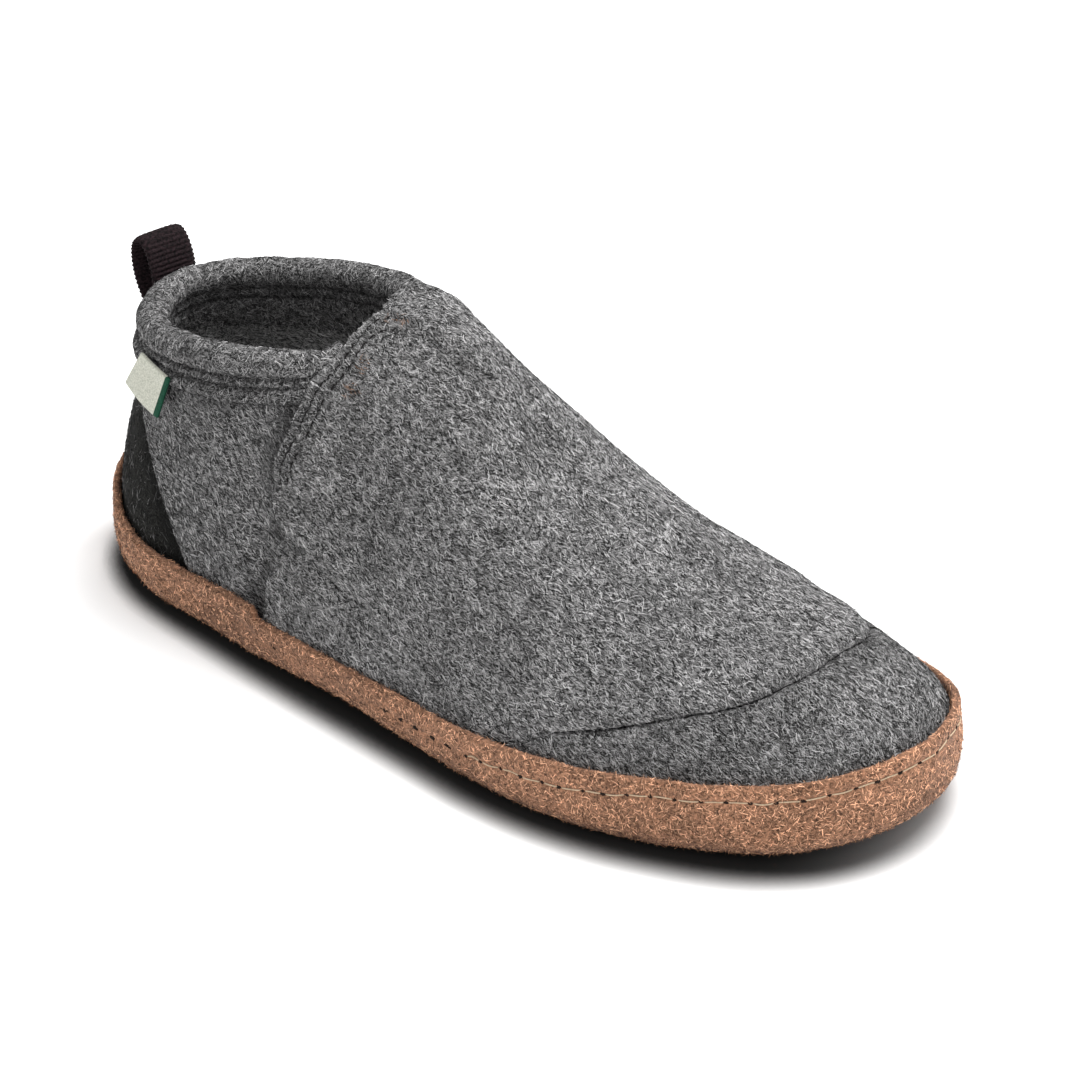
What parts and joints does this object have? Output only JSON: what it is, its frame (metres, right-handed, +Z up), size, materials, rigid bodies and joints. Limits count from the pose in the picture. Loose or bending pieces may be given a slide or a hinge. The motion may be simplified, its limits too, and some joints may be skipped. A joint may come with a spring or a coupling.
{
  "type": "felt slipper",
  "caption": "Right-foot slip-on felt slipper with a rolled collar, layered vamp, stitched-on suede cup sole, heel pull loop and a bare side label, hollow inside and standing on its flat sole.",
  "frame": {"origin": "middle of the whole slipper's box in plan, on the ground under the sole", "axes": "+X from heel to toe, +Y towards the medial (inner) side, +Z up"},
  "size_m": [0.2758, 0.0972, 0.0988],
  "materials": {
    "suede": "napped suede, brown",
    "felt_insole": "wool felt, dark grey",
    "felt_quarter": "heathered wool felt, mid grey",
    "felt_vamp": "heathered wool felt, light grey",
    "felt_dark": "wool felt, charcoal",
    "felt_collar": "heathered wool felt, mid grey",
    "webbing": "ribbed woven tape, brown-black",
    "label": "woven label, cream, bare"
  },
  "bodies": {
    "root": {"outsole": "suede", "insole": "felt_insole", "upper": "felt_quarter", "vamp": "felt_vamp", "toe_cap": "felt_vamp", "heel_gusset": "felt_dark", "collar": "felt_collar", "pull_loop": "webbing", "tag": "label"}
  },
  "joints": []
}
